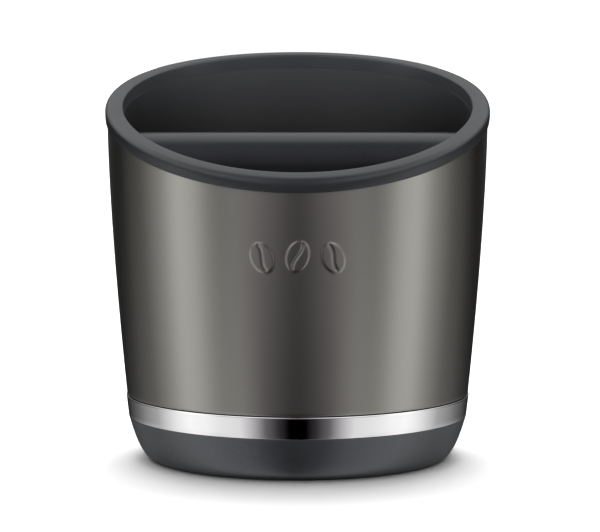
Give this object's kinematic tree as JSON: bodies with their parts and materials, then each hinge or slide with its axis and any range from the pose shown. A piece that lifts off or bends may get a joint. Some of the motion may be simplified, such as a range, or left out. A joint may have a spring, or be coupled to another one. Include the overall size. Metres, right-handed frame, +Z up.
{
  "type": "espresso knock box",
  "caption": "Round tapered knock box with a slanted rubber rim, brushed steel sleeve, chrome band, rubber base and a cushioned bar that lifts out.",
  "frame": {"origin": "on the bin's axis, at the height of the surface it stands on", "axes": "+Z up; -Y towards the low front of the slanted mouth; the knock bar runs along X"},
  "size_m": [0.143, 0.1425, 0.1502],
  "materials": {
    "sleeve_steel": "dark stainless, fine circumferential brushing",
    "collar_rubber": "soft-touch matte, moulded",
    "liner_plastic": "fine moulded texture",
    "trim_chrome": "mirror plated",
    "boot_rubber": "soft-touch matte, moulded",
    "pan_plastic": "moulded, unseen in use",
    "pad_rubber": "matte with a fine grip pattern",
    "screw_steel": "plain machined",
    "bar_rubber": "smooth satin rubber",
    "core_steel": "drawn tube",
    "end_plastic": "moulded"
  },
  "bodies": {
    "bin": {"outer_sleeve": "sleeve_steel", "rim_collar": "collar_rubber", "inner_liner": "liner_plastic", "trim_band": "trim_chrome", "base_boot": "boot_rubber", "base_pan": "pan_plastic", "non_slip_pad": "pad_rubber", "base_screw_1": "screw_steel", "base_screw_2": "screw_steel", "base_screw_3": "screw_steel", "base_screw_4": "screw_steel"},
    "knock_bar": {"bar_cushion": "bar_rubber", "bar_core": "core_steel", "bar_end_right": "end_plastic", "bar_end_left": "end_plastic"}
  },
  "joints": [
    {"name": "bar_lift", "type": "slide", "parent": "bin", "child": "knock_bar", "axis": [0, 0, 1], "range_m": [0, 0.06]}
  ]
}
